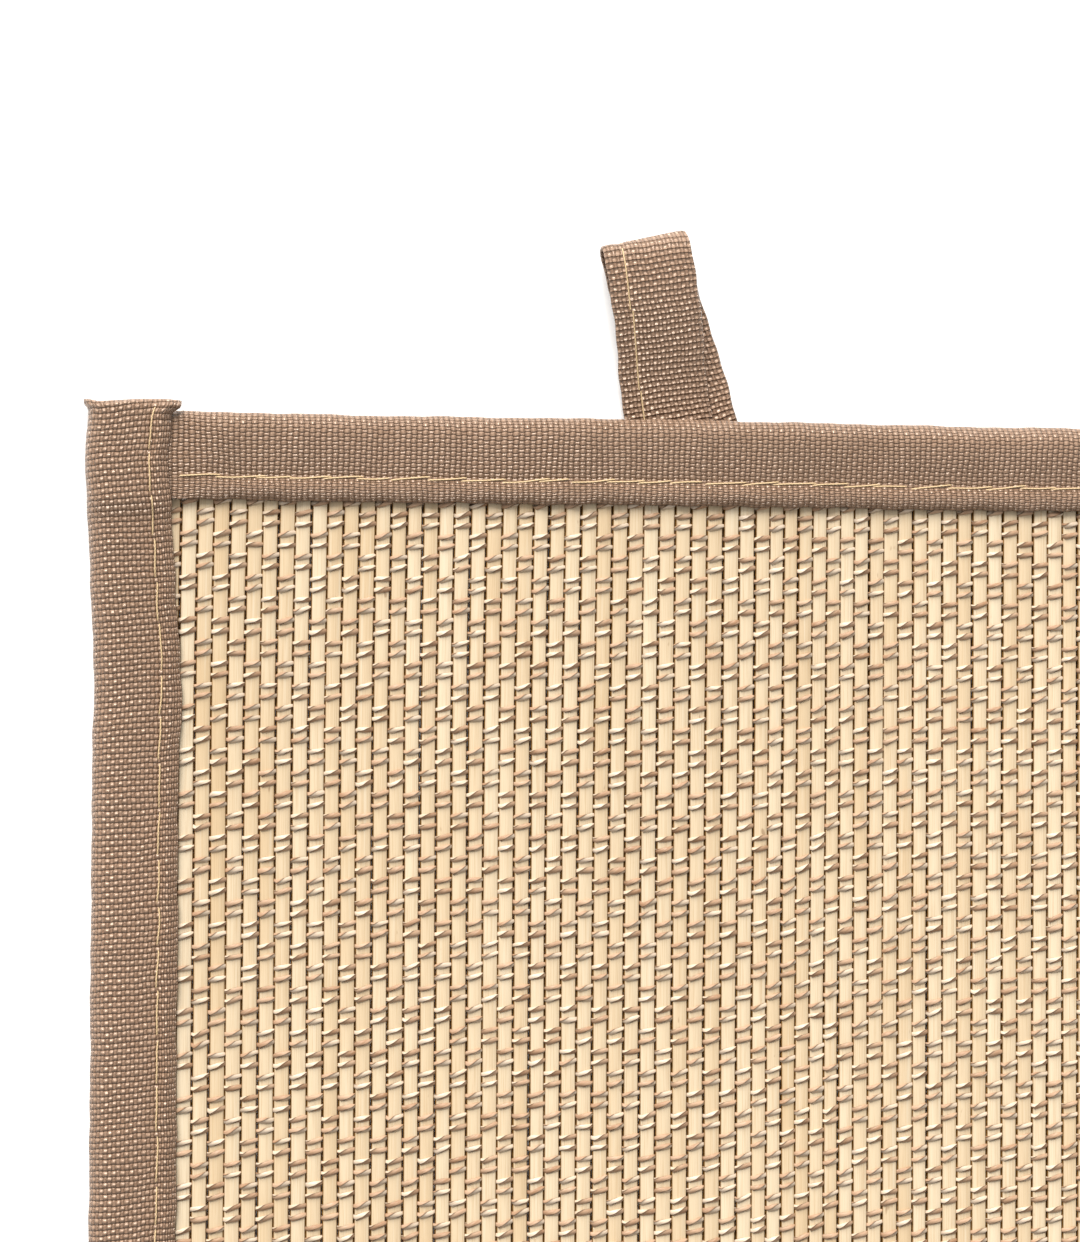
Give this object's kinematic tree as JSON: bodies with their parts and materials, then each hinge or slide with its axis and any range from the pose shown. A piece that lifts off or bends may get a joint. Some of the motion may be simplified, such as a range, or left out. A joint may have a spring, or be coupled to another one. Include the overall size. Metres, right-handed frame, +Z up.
{
  "type": "bamboo bath mat",
  "caption": "Flat rectangular mat of narrow bamboo slats tied by yarn, its four edges bound in folded cloth tape, with a cloth hanging loop at one edge.",
  "frame": {"origin": "on the floor, under the middle of the whole outline, the loop and the side tapes' ends included", "axes": "+Z up, away from the floor; +Y along the slats, towards the edge with the hanging loop; +X across the slats, to the right seen from above with the loop away from the viewer"},
  "size_m": [0.6044, 0.4505, 0.0089],
  "materials": {
    "bamboo": "smooth split bamboo, bare",
    "tape_cloth": "plain-woven synthetic cloth, slight sheen",
    "yarn": "two-ply yarn, one brown and one off-white ply",
    "sewing_thread": "twisted thread"
  },
  "bodies": {
    "root": {"slat_panel": "bamboo", "binding_top": "tape_cloth", "binding_bottom": "tape_cloth", "binding_left": "tape_cloth", "binding_right": "tape_cloth", "hanging_loop": "tape_cloth"}
  },
  "joints": []
}
